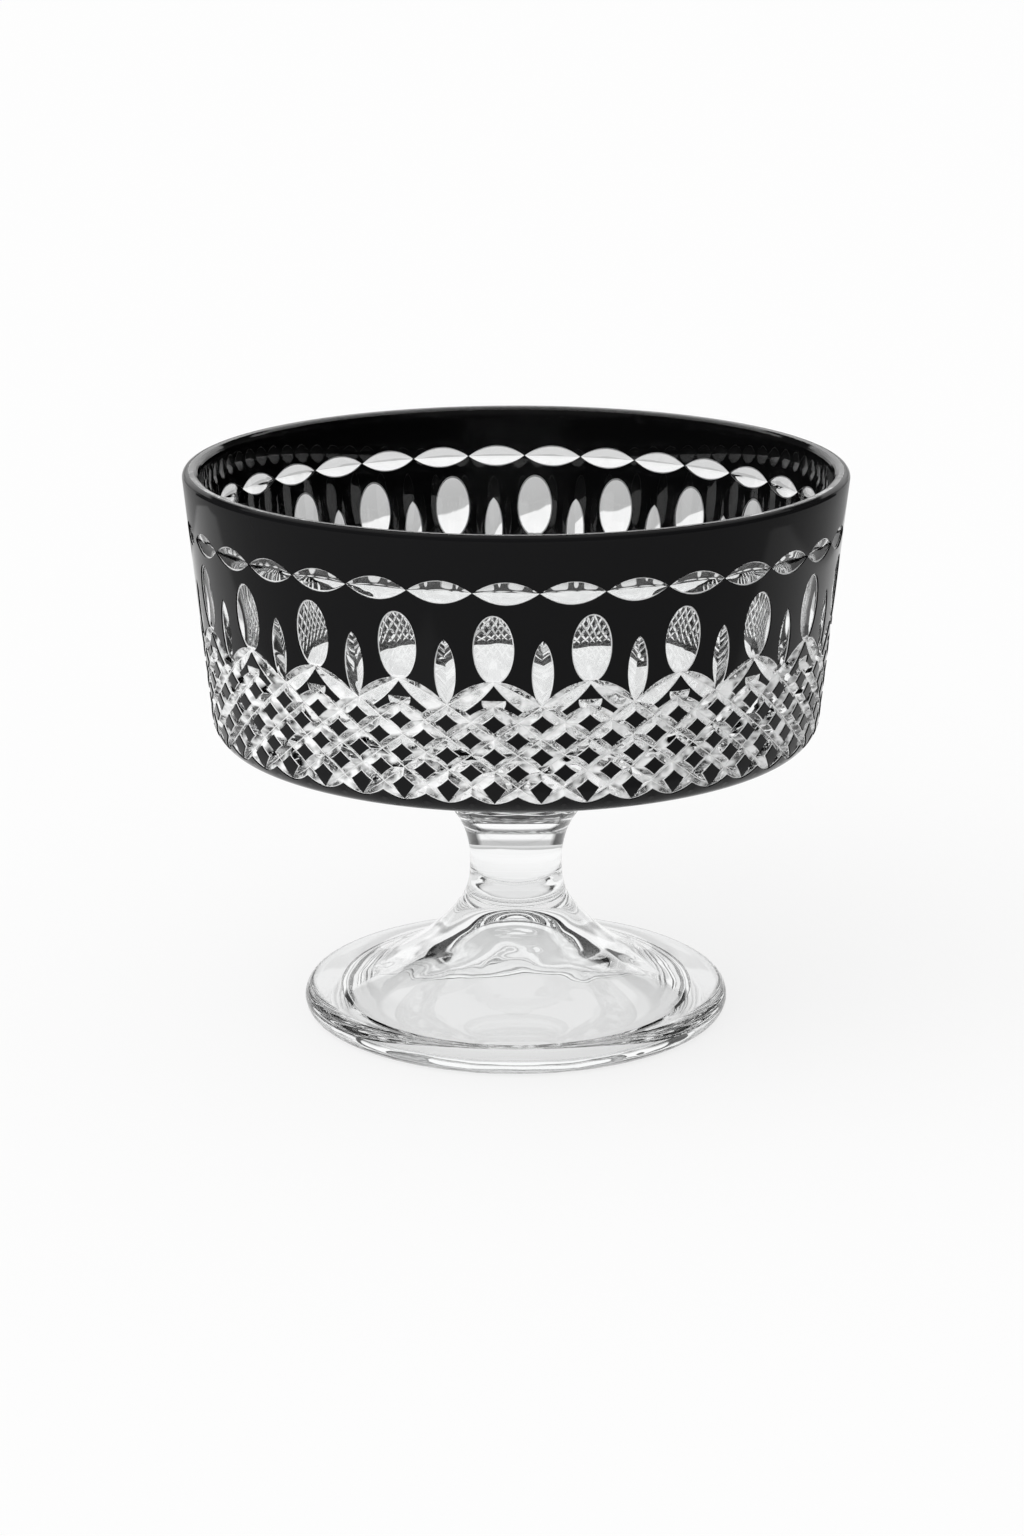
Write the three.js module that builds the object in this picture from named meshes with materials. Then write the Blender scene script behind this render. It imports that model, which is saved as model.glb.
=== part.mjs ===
// A footed fruit bowl in black cased and cut crystal. Millimetres, +Z up.
// The origin is the centre of the ring that the foot stands on, and the front is -Y.

import * as THREE from 'three';
import { mergeGeometries, mergeVertices } from 'three/addons/utils/BufferGeometryUtils.js';

const degree = Math.PI / 180;

// Bowl
const overallHeight = 173.3;
const rimRadius = 101.4;
const wallTaper = 5.7 * degree;
const wallThickness = 5.1;
const lipRounding = 1.4;
const cornerRadius = 8.4;
const undersideSlope = 16 * degree;
const floorThickness = 14;
const floorSlope = 10 * degree;
const floorBlend = 9;

// Black casing over the crystal
const casingThickness = 0.9;
const casingGap = 0.3;
const lipReveal = 1.6;
const casingReach = 6;

// Seat of the stem under the bowl, and the stem
const seatRadius = 28;
const seatHeight = 72.4;
const jointGap = 0.3;
const waistRadius = 14.4;
const waistHeight = 47.5;
const waistDrop = 4;
const waistRise = 12.5;
const flareReach = 8;
const flareDrop = 6;

// Foot
const jointRadius = 16;
const jointHeight = 37.5;
const jointRise = 2.5;
const footRadius = 66.6;
const beadRadius = 4.25;
const footShoulder = 24.4;
const footShoulderRise = 1.5;
const footNeckLean = 3.5;
const footNeckDrop = 8;
const hollowRadius = 54;
const hollowHeight = 30;
const hollowCrownReach = 5;
const hollowNeckRadius = 13.5;
const hollowNeckHeight = 23;
const hollowNeckRise = 3.5;
const hollowFlareReach = 10.5;
const hollowFlareDrop = 9;
const hollowSkirtReach = 8;
const hollowSkirtRise = 8;

// Cut pattern, measured down the wall from the rim
const oliveCount = 33;
const oliveTurn = -1.7 * degree;
const oliveCentre = 16.7;
const oliveHeight = 6.9;
const oliveDepth = 1.3;
const chainToOval = 3;
const ovalCount = 22;
const ovalTurn = -3.8 * degree;
const ovalWidth = 11.8;
const ovalLength = 20.4;
const ovalDepth = 1.2;
const ovalToPeak = 0.6;
const zigzagDrop = 6.75;
const zigzagWidth = 4.2;
const splitWidth = 6.1;
const splitLength = 19.1;
const splitDepth = 1.3;
const splitToValley = 0.6;
const trellisRows = 6;
const trellisPitch = 4.95;
const trellisOverrun = 3.7;
const trellisCutWidth = 4.4;
const trellisCutSlope = 0.12;
const peakCutWidth = 2.6;
const forkShare = 0.25;

// Fineness of the facets
const footSides = 36;
const stemSides = 32;
const oliveSteps = 4;
const splitSteps = 4;
const ovalSides = 10;
const cornerSteps = 3;
const lipSteps = 2;
const flareSteps = 6;
const neckSteps = 3;
const beadSteps = 6;
const hollowSteps = 4;
const drawingRadius = 60;

const landHeight = -(casingThickness + casingGap);
const fullTurn = 2 * Math.PI;
const ovalPitch = fullTurn / ovalCount;
const olivePitch = fullTurn / oliveCount;
const ringSides = 2 * ovalCount;
const ringTurn = ovalTurn + (trellisRows % 2) * ovalPitch / 4;

// Outside of the casing as a line in (radius, z): down the wall, round the corner, in to the seat
const turnAngle = Math.PI / 2 - wallTaper - undersideSlope;
const seatReach = (rimRadius - seatRadius) * Math.tan(undersideSlope);
const wallSlant = (overallHeight - seatHeight - seatReach)
  / (Math.cos(wallTaper) - Math.sin(wallTaper) * Math.tan(undersideSlope));
const wallEnd = wallSlant - cornerRadius * Math.tan(turnAngle / 2);
const cornerEnd = wallEnd + cornerRadius * turnAngle;
const wallFootRadius = rimRadius - wallEnd * Math.sin(wallTaper);
const wallFootHeight = overallHeight - wallEnd * Math.cos(wallTaper);
const cornerCentre = new THREE.Vector2(
  wallFootRadius - cornerRadius * Math.cos(wallTaper),
  wallFootHeight + cornerRadius * Math.sin(wallTaper),
);
const casingEnd = cornerEnd + casingReach;

// Heights of the pattern, stacked down the wall and fitted to its length
const drawnFoot = oliveCentre + oliveHeight / 2 + chainToOval + ovalLength + ovalToPeak
  + zigzagDrop + trellisRows * trellisPitch;
const fit = (wallEnd + trellisOverrun) / drawnFoot;
const chainMiddle = fit * oliveCentre;
const chainHeight = fit * oliveHeight;
const ovalHeight = fit * ovalLength;
const ovalMiddle = chainMiddle + chainHeight / 2 + fit * chainToOval + ovalHeight / 2;
const peakLevel = ovalMiddle + ovalHeight / 2 + fit * ovalToPeak;
const valleyLevel = peakLevel + fit * zigzagDrop;
const splitFoot = valleyLevel - fit * splitToValley;
const splitHeight = fit * splitLength;
const rowPitch = fit * trellisPitch;
const trellisFoot = valleyLevel + trellisRows * rowPitch;

// Point at a distance down the casing line, raised by a height along the outward normal
function casingLine(down, height) {
  if (down <= wallEnd) {
    return new THREE.Vector2(
      rimRadius - down * Math.sin(wallTaper) + height * Math.cos(wallTaper),
      overallHeight - down * Math.cos(wallTaper) - height * Math.sin(wallTaper),
    );
  }
  const lean = wallTaper + Math.min((down - wallEnd) / cornerRadius, turnAngle);
  const along = Math.max(down - cornerEnd, 0);
  return new THREE.Vector2(
    cornerCentre.x + (cornerRadius + height) * Math.cos(lean) - along * Math.cos(undersideSlope),
    cornerCentre.y - (cornerRadius + height) * Math.sin(lean) - along * Math.sin(undersideSlope),
  );
}

// A mark is a place on the casing: an angle from the front, a distance down and a height
function mark(angle, down, height = landHeight) {
  return { angle, down, height };
}

function raised(place, height) {
  return mark(place.angle, place.down, height);
}

function onBowl(place) {
  const spot = casingLine(place.down, place.height);
  return [spot.x * Math.sin(place.angle), -spot.x * Math.cos(place.angle), spot.y];
}

// The wall opened out flat as a ring seen from outside, rim at its inner edge
function drawnFlat(place) {
  const reach = drawingRadius + place.down;
  return new THREE.Vector2(reach * Math.sin(place.angle), -reach * Math.cos(place.angle));
}

// Turns a triangle of marks to face outwards, and drops it where it has no area
function facingOut(face) {
  const [p, q, r] = face.map(drawnFlat);
  const area = q.clone().sub(p).cross(r.clone().sub(p));
  const leastArea = 1e-6;
  if (Math.abs(area) < leastArea) {
    return [];
  }
  return [area > 0 ? face : [face[0], face[2], face[1]]];
}

// Triangles between two rows of marks that run side by side
function ruled(rowA, rowB) {
  const faces = [];
  for (let k = 0; k + 1 < rowA.length; k += 1) {
    faces.push([rowA[k], rowA[k + 1], rowB[k + 1]], [rowA[k], rowB[k + 1], rowB[k]]);
  }
  return faces.flatMap(facingOut);
}

function closedRow(row) {
  return [...row, row[0]];
}

function fan(row, centre) {
  return ruled(closedRow(row), closedRow(row).map(() => centre));
}

// Triangles that fill an outline, less the windows in it
function panel(outline, windows) {
  const places = [...outline, ...windows.flat()];
  const corners = THREE.ShapeUtils.triangulateShape(
    outline.map(drawnFlat),
    windows.map((window) => window.map(drawnFlat)),
  );
  return corners.map((corner) => corner.map((k) => places[k])).flatMap(facingOut);
}

// Number of the mark in a row round the bowl that lies nearest an angle
function nearest(row, angle) {
  const away = (place) => 1 - Math.cos(place.angle - angle);
  return row.reduce((best, place, k) => (away(place) < away(row[best]) ? k : best), 0);
}

function stretch(row, first, last) {
  const count = (last - first + row.length) % row.length;
  return Array.from({ length: count + 1 }, (_, k) => row[(first + k) % row.length]);
}

// Sheet between two edges round the bowl, in panels that meet at the seam angles.
// Panel k runs from seam k to the next one, and has the windows given for it.
function sheet(upperEdge, lowerEdge, seams, windowsOf = () => []) {
  return seams.flatMap((seam, k) => {
    const next = seams[(k + 1) % seams.length];
    const upper = stretch(upperEdge, nearest(upperEdge, seam), nearest(upperEdge, next));
    const lower = stretch(lowerEdge, nearest(lowerEdge, seam), nearest(lowerEdge, next));
    return panel([...lower, ...upper.reverse()], windowsOf(k));
  });
}

function ring(down) {
  return Array.from({ length: ringSides }, (_, k) => mark(ringTurn + k * fullTurn / ringSides, down));
}

function bowlGeometry(faces) {
  const geometry = new THREE.BufferGeometry();
  const places = faces.flat().flatMap(onBowl);
  geometry.setAttribute('position', new THREE.Float32BufferAttribute(places, 3));
  return geometry;
}

// A layer of casing: an outer and an inner sheet, joined by a wall along every free edge
function casingGeometry(faces) {
  const names = new Map(faces.flat().map((place) => [place, 0]));
  [...names.keys()].forEach((place, k) => names.set(place, k));
  const edges = new Map();
  for (const face of faces) {
    face.forEach((from, k) => {
      const to = face[(k + 1) % 3];
      edges.set(`${names.get(from)} ${names.get(to)}`, [from, to]);
    });
  }
  const freeEdges = [...edges.values()].filter(
    ([from, to]) => !edges.has(`${names.get(to)} ${names.get(from)}`),
  );
  const outer = (place) => raised(place, 0);
  const inner = (place) => raised(place, -casingThickness);
  const walls = freeEdges.flatMap(([from, to]) => [
    [outer(from), inner(from), inner(to)],
    [outer(from), inner(to), outer(to)],
  ]);
  const outside = faces.map((face) => face.map(outer));
  const inside = faces.map((face) => face.map(inner).reverse());
  return mergeVertices(bowlGeometry([...outside, ...inside, ...walls]));
}

// A surface turned round the axis from a line in (radius, z)
function turned(points, sides) {
  const geometry = new THREE.LatheGeometry(points, sides, ringTurn).rotateX(Math.PI / 2);
  geometry.deleteAttribute('normal');
  geometry.deleteAttribute('uv');
  return geometry;
}

// Edge of a pointed cut from tip to tip, bowed to one side by half its width
function cutEdge(from, to, halfWidth, shares) {
  const radius = casingLine((from.down + to.down) / 2, 0).x;
  const run = (to.angle - from.angle) * radius;
  const drop = to.down - from.down;
  const length = Math.hypot(run, drop);
  return shares.map((share) => {
    const bow = 4 * share * (1 - share) * halfWidth / length;
    const across = run * share - drop * bow;
    return mark(from.angle + across / radius, from.down + drop * share + run * bow);
  });
}

function evenShares(steps) {
  return Array.from({ length: steps + 1 }, (_, k) => k / steps);
}

// Bottom line of a pointed cut, deepest half way along
function cutBottom(from, to, depth, shares) {
  return shares.map((share) => mark(
    from.angle + (to.angle - from.angle) * share,
    from.down + (to.down - from.down) * share,
    landHeight - 4 * share * (1 - share) * depth,
  ));
}

// Olive chain: pointed cuts laid end to end round the wall, a hair of casing gap at their tips
function oliveChain() {
  const shares = evenShares(oliveSteps);
  const olives = Array.from({ length: oliveCount }, (_, k) => {
    const left = oliveTurn + (k - 0.5) * olivePitch;
    const tips = (down) => [mark(left, down), mark(left + olivePitch, down)];
    const upper = cutEdge(...tips(chainMiddle - casingGap / 2), -chainHeight / 2, shares);
    const lower = cutEdge(...tips(chainMiddle + casingGap / 2), chainHeight / 2, shares);
    const bottom = cutBottom(...tips(chainMiddle), oliveDepth, shares);
    return { upper, lower, bottom };
  });
  return {
    upperEdge: olives.flatMap((olive) => olive.upper.slice(0, -1)),
    lowerEdge: olives.flatMap((olive) => olive.lower.slice(0, -1)),
    facets: olives.flatMap((olive) => [
      ...ruled(olive.upper, olive.bottom),
      ...ruled(olive.bottom, olive.lower),
    ]),
  };
}

// Oval: a round-bottomed dish
function ovalCut(angle) {
  const radius = casingLine(ovalMiddle, 0).x;
  const outline = Array.from({ length: ovalSides }, (_, k) => {
    const turn = k * fullTurn / ovalSides;
    return mark(
      angle + ovalWidth / 2 * Math.sin(turn) / radius,
      ovalMiddle + ovalHeight / 2 * Math.cos(turn),
    );
  });
  const centre = mark(angle, ovalMiddle, landHeight - ovalDepth);
  return { outline, facets: fan(outline, centre) };
}

// Split: an upright pointed cut between two ovals
function splitCut(angle) {
  const top = mark(angle, splitFoot - splitHeight);
  const foot = mark(angle, splitFoot);
  const shares = evenShares(splitSteps);
  const bottom = cutBottom(top, foot, splitDepth, shares);
  const left = cutEdge(top, foot, -splitWidth / 2, shares);
  const right = cutEdge(top, foot, splitWidth / 2, shares);
  return {
    outline: [...left, ...right.slice(1, -1).reverse()],
    facets: [...ruled(left, bottom), ...ruled(bottom, right)],
  };
}

// Points where the cuts of the trellis cross: a row number and quarters of the oval pitch
function crossing(row, quarter) {
  return mark(ovalTurn + quarter * ovalPitch / 4, valleyLevel + row * rowPitch);
}

// Place on the bottom of a cut between two crossings: a longer cut goes deeper
function cutDip(from, to, share = 0.5) {
  const radius = casingLine((from.down + to.down) / 2, 0).x;
  const length = Math.hypot((to.angle - from.angle) * radius, to.down - from.down);
  return cutBottom(from, to, trellisCutSlope * length, [share])[0];
}

// A diamond left standing between four cuts, its crown level with the casing.
// A cut dips half way along each side, apart from the straight sides.
function diamond(corners, cutWidth, straightSides = []) {
  const angle = corners.reduce((sum, corner) => sum + corner.angle, 0) / corners.length;
  const down = corners.reduce((sum, corner) => sum + corner.down, 0) / corners.length;
  const radius = casingLine(down, 0).x;
  const flat = corners.map(
    (corner) => new THREE.Vector2((corner.angle - angle) * radius, corner.down - down),
  );
  const girth = flat.reduce((sum, point, k) => sum + point.distanceTo(flat[(k + 1) % 4]), 0);
  const inset = cutWidth * girth / (4 * Math.abs(THREE.ShapeUtils.area(flat)));
  const crown = corners.map((corner) => mark(
    corner.angle + (angle - corner.angle) * inset,
    corner.down + (down - corner.down) * inset,
    0,
  ));
  const sides = corners.flatMap((corner, k) => {
    const next = (k + 1) % 4;
    if (straightSides.includes(k)) {
      return ruled([corner, corners[next]], [crown[k], crown[next]]);
    }
    const middle = cutDip(corner, corners[next]);
    return [
      [corner, middle, crown[k]],
      [middle, corners[next], crown[next]],
      [middle, crown[next], crown[k]],
    ];
  });
  const top = [[crown[0], crown[1], crown[2]], [crown[0], crown[2], crown[3]]];
  return [...sides, ...top].flatMap(facingOut);
}

// Place on a long cut of the zigzag where the short cut from the crossing below meets it
function zigzagFork(peak, valley) {
  return cutDip(peak, valley, forkShare);
}

// Zigzag under the ovals: long cuts from the peak under an oval to the valley under a split
function zigzag() {
  const facets = [];
  const edge = [];
  const shares = [0, forkShare, (1 + forkShare) / 2, 1];
  for (let k = 0; k < ovalCount; k += 1) {
    const peak = mark(ovalTurn + k * ovalPitch, peakLevel);
    for (const side of [-1, 1]) {
      const valley = crossing(0, 4 * k + 2 * side);
      const upper = cutEdge(peak, valley, -side * zigzagWidth / 2, shares);
      const fork = zigzagFork(peak, valley);
      facets.push(...ruled(upper, [peak, fork, cutDip(fork, valley), valley]));
      edge.push(...(side < 0 ? upper.slice().reverse() : upper.slice(1, -1)));
    }
  }
  return { edge, facets };
}

// Trellis of crossed cuts below the zigzag, with the small diamonds under each peak
function trellis() {
  const facets = [];
  for (let k = 0; k < ovalCount; k += 1) {
    const home = 4 * k;
    const peak = mark(ovalTurn + k * ovalPitch, peakLevel);
    const node = crossing(0, home);
    const forks = [-1, 1].map((side) => zigzagFork(peak, crossing(0, home + 2 * side)));
    facets.push(...diamond([peak, forks[1], node, forks[0]], peakCutWidth, [0, 1, 2, 3]));
    for (const side of [-1, 1]) {
      const fork = forks[(side + 1) / 2];
      const corners = [fork, crossing(0, home + 2 * side), crossing(1, home + side), node];
      facets.push(...diamond(corners, zigzagWidth, [3]));
    }
    for (let row = 1; row < trellisRows; row += 1) {
      for (const quarter of [home + (row - 1) % 2, home + (row - 1) % 2 + 2]) {
        facets.push(...diamond([
          crossing(row - 1, quarter),
          crossing(row, quarter + 1),
          crossing(row + 1, quarter),
          crossing(row, quarter - 1),
        ], trellisCutWidth));
      }
    }
  }
  return facets;
}

// Scalloped foot of the trellis, where the casing starts again
function scallops() {
  const facets = [];
  const edge = [];
  const shares = evenShares(2);
  const parity = trellisRows % 2;
  for (let step = 0; step < 2 * ovalCount; step += 1) {
    const low = crossing(trellisRows, 2 * step + parity);
    for (const side of [-1, 1]) {
      const high = crossing(trellisRows - 1, 2 * step + parity + side);
      const lower = cutEdge(low, high, side * trellisCutWidth / 2, shares);
      facets.push(...ruled([low, cutDip(low, high), high], lower));
      edge.push(...(side < 0 ? lower.slice().reverse() : lower.slice(1, -1)));
    }
  }
  return { edge, facets };
}

// The pattern drawn once: its cut facets, and the three stretches of casing that it leaves
const chain = oliveChain();
const ovalAngles = Array.from({ length: ovalCount }, (_, k) => ovalTurn + k * ovalPitch);
const ovals = ovalAngles.map(ovalCut);
const splits = ovalAngles.map((angle) => splitCut(angle + ovalPitch / 2));
const peaks = zigzag();
const hem = scallops();
const wallRadius = casingLine(ovalMiddle, 0).x;
const seamTurn = ovalPitch / 4 + (ovalWidth - splitWidth) / 4 / wallRadius;
const seams = {
  rimBand: Array.from({ length: oliveCount }, (_, k) => oliveTurn + (k - 0.5) * olivePitch),
  field: ovalAngles.flatMap((angle) => [angle - seamTurn, angle + seamTurn]),
  cup: ring(0).map((place) => place.angle),
};
const cupStart = trellisFoot + trellisCutWidth / 2;
const cupRings = [
  cupStart,
  ...evenShares(cornerSteps).map((share) => cupStart + (cornerEnd - cupStart) * share).slice(1),
  casingEnd,
].map(ring);
const rimBand = sheet(ring(lipReveal), chain.upperEdge, seams.rimBand);
const field = sheet(chain.lowerEdge, peaks.edge, seams.field, (k) => {
  const cuts = k % 2 ? splits : ovals;
  return [cuts[Math.floor(k / 2)].outline];
});
const cup = [
  ...sheet(hem.edge, cupRings[0], seams.cup),
  ...cupRings.slice(1).flatMap((row, k) => ruled(closedRow(cupRings[k]), closedRow(row))),
];

// Rounded lip, inner wall and floor of the crystal, from the top edge of the casing to the axis
function insideLine() {
  const lipCorner = (height) => casingLine(-height * Math.tan(wallTaper), height);
  const outerLip = lipCorner(landHeight);
  const innerLip = lipCorner(-wallThickness);
  const floorHeight = seatHeight + floorThickness;
  const tilt = Math.tan(wallTaper);
  const rise = (innerLip.y - floorHeight - innerLip.x * Math.tan(floorSlope))
    / (1 - tilt * Math.tan(floorSlope));
  const corner = new THREE.Vector2(innerLip.x - rise * tilt, innerLip.y - rise);
  const outerRounding = new THREE.QuadraticBezierCurve(
    casingLine(lipReveal, landHeight),
    outerLip,
    new THREE.Vector2(outerLip.x - lipRounding, outerLip.y),
  );
  const innerRounding = new THREE.QuadraticBezierCurve(
    new THREE.Vector2(innerLip.x + lipRounding, innerLip.y),
    innerLip,
    new THREE.Vector2(innerLip.x - lipRounding * tilt, innerLip.y - lipRounding),
  );
  const wallSide = new THREE.Vector2(Math.sin(wallTaper), Math.cos(wallTaper));
  const floorSide = new THREE.Vector2(-Math.cos(floorSlope), -Math.sin(floorSlope));
  const floorRounding = new THREE.QuadraticBezierCurve(
    corner.clone().addScaledVector(wallSide, floorBlend),
    corner,
    corner.clone().addScaledVector(floorSide, floorBlend),
  );
  return [
    ...outerRounding.getPoints(lipSteps),
    ...innerRounding.getPoints(lipSteps),
    ...floorRounding.getPoints(cornerSteps),
    new THREE.Vector2(0, floorHeight),
  ];
}

// Clear underside, from the flat seat for the stem out to the end of the casing
function undersideLine() {
  return [
    new THREE.Vector2(0, seatHeight),
    new THREE.Vector2(seatRadius, seatHeight),
    casingLine(casingEnd, landHeight),
  ];
}

function crystalBowlGeometry() {
  const land = [...rimBand, ...field, ...cup];
  const cuts = [
    ...chain.facets,
    ...ovals.flatMap((cut) => cut.facets),
    ...splits.flatMap((cut) => cut.facets),
    ...peaks.facets,
    ...trellis(),
    ...hem.facets,
  ];
  const inside = turned(insideLine(), ringSides).toNonIndexed();
  const underside = turned(undersideLine(), ringSides).toNonIndexed();
  return mergeVertices(mergeGeometries([bowlGeometry([...land, ...cuts]), inside, underside]));
}

// Solid stem: a waisted spool that flares up to the seat
function stemGeometry() {
  const top = seatHeight - jointGap;
  const waist = new THREE.Vector2(waistRadius, waistHeight);
  const joint = new THREE.Vector2(jointRadius, jointHeight);
  const seat = new THREE.Vector2(seatRadius, top);
  const neck = new THREE.CubicBezierCurve(
    joint,
    new THREE.Vector2(jointRadius - jointRise * footNeckLean / footNeckDrop, jointHeight + jointRise),
    new THREE.Vector2(waistRadius, waistHeight - waistDrop),
    waist,
  );
  const flare = new THREE.CubicBezierCurve(
    waist,
    new THREE.Vector2(waistRadius, waistHeight + waistRise),
    new THREE.Vector2(seatRadius - flareReach, top - flareDrop),
    seat,
  );
  return turned([
    new THREE.Vector2(0, jointHeight),
    ...neck.getPoints(neckSteps),
    ...flare.getPoints(flareSteps).slice(1),
    new THREE.Vector2(0, top),
  ], stemSides);
}

// Trumpet-shaped foot with a rounded edge, hollow underneath, standing on a flat ring
function footGeometry() {
  const top = jointHeight - jointGap;
  const beadCentre = footRadius - beadRadius;
  const beadTop = 2 * beadRadius;
  const neck = new THREE.Vector2(hollowNeckRadius, hollowNeckHeight);
  const crown = new THREE.CubicBezierCurve(
    new THREE.Vector2(0, hollowHeight),
    new THREE.Vector2(hollowCrownReach, hollowHeight),
    new THREE.Vector2(neck.x - hollowNeckRise * hollowFlareReach / hollowFlareDrop, neck.y + hollowNeckRise),
    neck,
  );
  const skirt = new THREE.CubicBezierCurve(
    neck,
    new THREE.Vector2(neck.x + hollowFlareReach, neck.y - hollowFlareDrop),
    new THREE.Vector2(hollowRadius - hollowSkirtReach, hollowSkirtRise),
    new THREE.Vector2(hollowRadius, 0),
  );
  const bead = new THREE.EllipseCurve(
    beadCentre, beadRadius, beadRadius, beadRadius, -Math.PI / 2, Math.PI / 2,
  );
  const trumpet = new THREE.CubicBezierCurve(
    new THREE.Vector2(beadCentre, beadTop),
    new THREE.Vector2(beadCentre - footShoulder, beadTop + footShoulderRise),
    new THREE.Vector2(jointRadius + footNeckLean, top - footNeckDrop),
    new THREE.Vector2(jointRadius, top),
  );
  return turned([
    ...crown.getPoints(hollowSteps),
    ...skirt.getPoints(hollowSteps).slice(1),
    ...bead.getPoints(beadSteps),
    ...trumpet.getPoints(flareSteps).slice(1),
    new THREE.Vector2(0, top),
  ], footSides);
}

const clearCrystal = { color: 0xe9eef0, roughness: 0.04, metalness: 0 };
const blackGlass = { color: 0x0c0c0e, roughness: 0.08, metalness: 0 };

function piece(name, geometry, finish) {
  const mesh = new THREE.Mesh(geometry, new THREE.MeshStandardMaterial(finish));
  mesh.name = name;
  return mesh;
}

const bowl = new THREE.Group();
bowl.add(
  piece('crystal_bowl', crystalBowlGeometry(), clearCrystal),
  piece('overlay_rim_band', casingGeometry(rimBand), blackGlass),
  piece('overlay_field', casingGeometry(field), blackGlass),
  piece('overlay_base_cup', casingGeometry(cup), blackGlass),
);

const pedestal = new THREE.Group();
pedestal.add(
  piece('stem', stemGeometry(), clearCrystal),
  piece('foot', footGeometry(), clearCrystal),
);

const footedBowl = new THREE.Group();
footedBowl.add(bowl, pedestal);

export default footedBowl;
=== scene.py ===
# %% [markdown]
# # A footed fruit bowl in black cased and cut crystal
#
# The real bowl is blown as a thick clear bowl under a thin coat of black glass. A cutter then grinds
# through the black with stone wheels, so that every cut shows as a clear, bright window. The stem and
# the foot are clear glass, welded on hot. This notebook rebuilds those surfaces with arrays of
# numbers, one piece after the other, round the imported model.

import bpy
import numpy as np
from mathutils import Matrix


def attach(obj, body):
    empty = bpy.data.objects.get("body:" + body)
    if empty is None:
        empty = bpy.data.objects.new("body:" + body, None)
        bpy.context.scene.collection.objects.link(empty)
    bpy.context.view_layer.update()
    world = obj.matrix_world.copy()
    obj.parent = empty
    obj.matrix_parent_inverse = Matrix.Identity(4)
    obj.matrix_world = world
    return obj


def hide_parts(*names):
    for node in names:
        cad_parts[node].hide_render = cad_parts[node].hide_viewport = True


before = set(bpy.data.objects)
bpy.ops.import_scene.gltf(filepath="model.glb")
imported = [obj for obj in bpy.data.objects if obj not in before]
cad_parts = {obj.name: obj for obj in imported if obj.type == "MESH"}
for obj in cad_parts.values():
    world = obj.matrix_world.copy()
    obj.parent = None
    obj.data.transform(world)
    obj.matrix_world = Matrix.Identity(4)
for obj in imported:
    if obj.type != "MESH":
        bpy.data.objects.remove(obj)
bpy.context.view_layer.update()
print("nodes:", sorted(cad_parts))

# %% [markdown]
# ## Camera
#
# The photograph looks down on the bowl by about 16 degrees, from a little over a metre away, through
# a long lens. The axis of the bowl stands a hair right of the middle of the picture, which a small
# step of the camera to the left gives without any lens shift.

# %% Camera
MM = 0.001
IMAGE_HEIGHT = 1536
FOCAL_PIXELS = 3552.9
SENSOR = 36.0
CAMERA_PLACE = (-1.24 * MM, -1062.29 * MM, 386.3 * MM)
CAMERA_DIP = 0.2830

lens = bpy.data.cameras.new("camera")
lens.sensor_fit = "VERTICAL"
lens.sensor_height = SENSOR
lens.lens = FOCAL_PIXELS / IMAGE_HEIGHT * SENSOR
camera = bpy.data.objects.new("camera", lens)
camera.location = CAMERA_PLACE
camera.rotation_euler = (np.pi / 2 - CAMERA_DIP, 0, 0)
bpy.context.scene.collection.objects.link(camera)
bpy.context.scene.camera = camera
print(f"lens {lens.lens:.1f} mm")

# %% [markdown]
# ## The casing line
#
# Everything on the outside of the bowl is placed by three numbers: an angle round the axis from the
# front, a distance down the wall from the rim, and a height above or below the black surface. The
# line comes over the outer half of the rounded lip, runs down a straight tapered wall, turns round a
# corner and goes in along the underside to the stem.

# %% The casing line
RIM_HEIGHT = 173.3
RIM_RADIUS = 101.4
WALL_TAPER = np.radians(5.7)
CORNER_RADIUS = 8.4
UNDERSIDE_SLOPE = np.radians(16)
SEAT_RADIUS = 28.0
SEAT_HEIGHT = 72.4

CORNER_TURN = np.pi / 2 - WALL_TAPER - UNDERSIDE_SLOPE
seat_rise = (RIM_RADIUS - SEAT_RADIUS) * np.tan(UNDERSIDE_SLOPE)
wall_slant = (RIM_HEIGHT - SEAT_HEIGHT - seat_rise) / (
    np.cos(WALL_TAPER) - np.sin(WALL_TAPER) * np.tan(UNDERSIDE_SLOPE))
WALL_END = wall_slant - CORNER_RADIUS * np.tan(CORNER_TURN / 2)
CORNER_END = WALL_END + CORNER_RADIUS * CORNER_TURN
corner_x = RIM_RADIUS - WALL_END * np.sin(WALL_TAPER) - CORNER_RADIUS * np.cos(WALL_TAPER)
corner_z = RIM_HEIGHT - WALL_END * np.cos(WALL_TAPER) + CORNER_RADIUS * np.sin(WALL_TAPER)
LIP_RADIUS = 1.9
LIP_END = LIP_RADIUS * (1 + np.sin(WALL_TAPER)) / np.cos(WALL_TAPER)
LIP_START = LIP_END - LIP_RADIUS * (np.pi / 2 + WALL_TAPER)


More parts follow.
